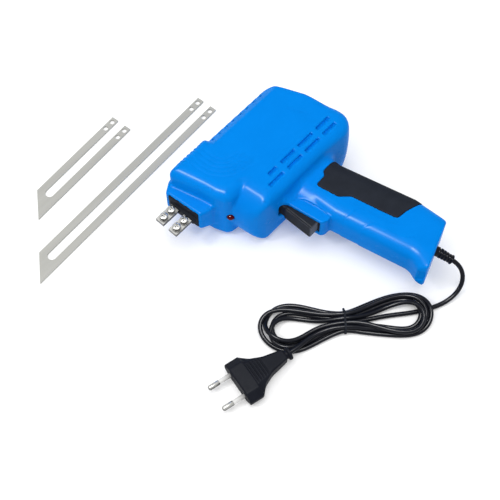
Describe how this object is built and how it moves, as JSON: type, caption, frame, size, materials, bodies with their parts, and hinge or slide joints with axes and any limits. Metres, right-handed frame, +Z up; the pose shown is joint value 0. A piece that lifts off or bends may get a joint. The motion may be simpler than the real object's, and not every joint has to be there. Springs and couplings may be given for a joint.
{
  "type": "electric hot knife",
  "caption": "Pistol-shaped transformer hot knife with a trigger, screw terminals for U-shaped hot blades, a tied mains lead with a flat plug, and loose blades beside it.",
  "frame": {"origin": "on the resting face of the right shell, straight below the centre line of the blade terminals", "axes": "+X along the blade direction out of the snout, +Y towards the handle, +Z up, square to the parting plane of the two shells, with the tool lying on its right side"},
  "size_m": [0.2454, 0.315, 0.062],
  "materials": {
    "blue_shell": "satin moulded plastic, bright blue",
    "soft_grip": "matt charcoal soft grip",
    "black_plastic": "matt black moulded plastic",
    "ivory_plastic": "natural moulded plastic",
    "nickel": "bright nickel plate",
    "blade_steel": "satin steel strip",
    "core_steel": "varnished lamination stack",
    "zinc": "zinc plated steel",
    "dark_screw": "black oxide steel",
    "copper": "bare copper strip",
    "magnet_wire": "enamelled wire under tape",
    "fuse_white": "glazed ceramic body",
    "lamp_red": "clear red lens",
    "board_green": "green circuit board",
    "wire_brown": "brown wire insulation",
    "wire_blue": "blue wire insulation",
    "wire_black": "black wire insulation",
    "wire_red": "red wire insulation",
    "cord_black": "black flexible cord sheath",
    "plug_black": "black moulded plug",
    "sleeve_grey": "light grey pin sleeve"
  },
  "bodies": {
    "housing": {"left_housing": "blue_shell", "right_housing": "blue_shell", "housing_screws": "dark_screw", "left_grip": "soft_grip", "right_grip": "soft_grip", "nose_insulator": "black_plastic", "upper_terminal": "nickel", "lower_terminal": "nickel", "terminal_screws": "nickel", "terminal_washers": "nickel", "terminal_rivets": "nickel", "transformer_core": "core_steel", "core_bolts": "zinc", "winding_bobbin": "ivory_plastic", "primary_winding": "magnet_wire", "secondary_winding": "copper", "thermal_fuse": "fuse_white", "switch_body": "black_plastic", "trigger_spring": "zinc", "led_lens": "lamp_red", "led_board": "board_green", "inner_cord": "cord_black", "cord_clamp": "ivory_plastic", "clamp_screws": "zinc", "live_wire": "wire_brown", "neutral_wire": "wire_blue", "switch_wire": "wire_black", "led_wire": "wire_red", "strain_relief": "cord_black", "cord_lead": "cord_black", "cord_hank": "cord_black", "hank_tie": "cord_black", "cord_tail": "cord_black", "plug_body": "plug_black", "plug_pins": "nickel", "pin_sleeves": "sleeve_grey"},
    "trigger": {"trigger": "black_plastic", "switch_plunger": "ivory_plastic"},
    "long_blade": {"long_blade": "blade_steel"},
    "short_blade": {"short_blade": "blade_steel"}
  },
  "joints": [
    {"name": "trigger_press", "type": "slide", "parent": "housing", "child": "trigger", "axis": [-1, 0, 0], "range_m": [0, 0.005], "stiffness_N_per_m": 600, "springref_m": -0.004, "deforming": ["trigger_spring"]},
    {"name": "long_blade_lift", "type": "slide", "parent": "housing", "child": "long_blade", "axis": [0, 0, 1], "range_m": [0, 0.08]},
    {"name": "short_blade_lift", "type": "slide", "parent": "housing", "child": "short_blade", "axis": [0, 0, 1], "range_m": [0, 0.08]}
  ]
}
